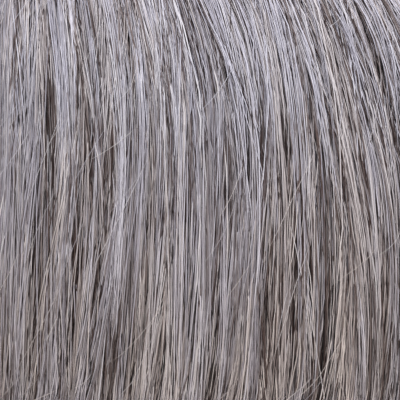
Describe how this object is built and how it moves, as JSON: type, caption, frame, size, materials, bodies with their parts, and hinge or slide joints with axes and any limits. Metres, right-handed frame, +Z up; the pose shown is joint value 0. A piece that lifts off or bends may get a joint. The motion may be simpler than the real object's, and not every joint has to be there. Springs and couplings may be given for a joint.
{
  "type": "short wig",
  "caption": "Short straight wig: a thin head cap carrying a fringe, sides and back of grey fibre hair that fall from a centre parting and are cut at the jaw.",
  "frame": {"origin": "inside of the cap's crown, where the top of the head bears", "axes": "+Z up as worn, the face looks along -Y, the wearer's left is +X"},
  "size_m": [0.2147, 0.2422, 0.2241],
  "materials": {
    "grey_fibre": "silky fibre, mixed silver, grey and taupe strands",
    "cap_lace": "matt stretch net"
  },
  "bodies": {
    "root": {"cap": "cap_lace", "fringe": "grey_fibre", "side_left": "grey_fibre", "side_right": "grey_fibre", "back": "grey_fibre"}
  },
  "joints": []
}
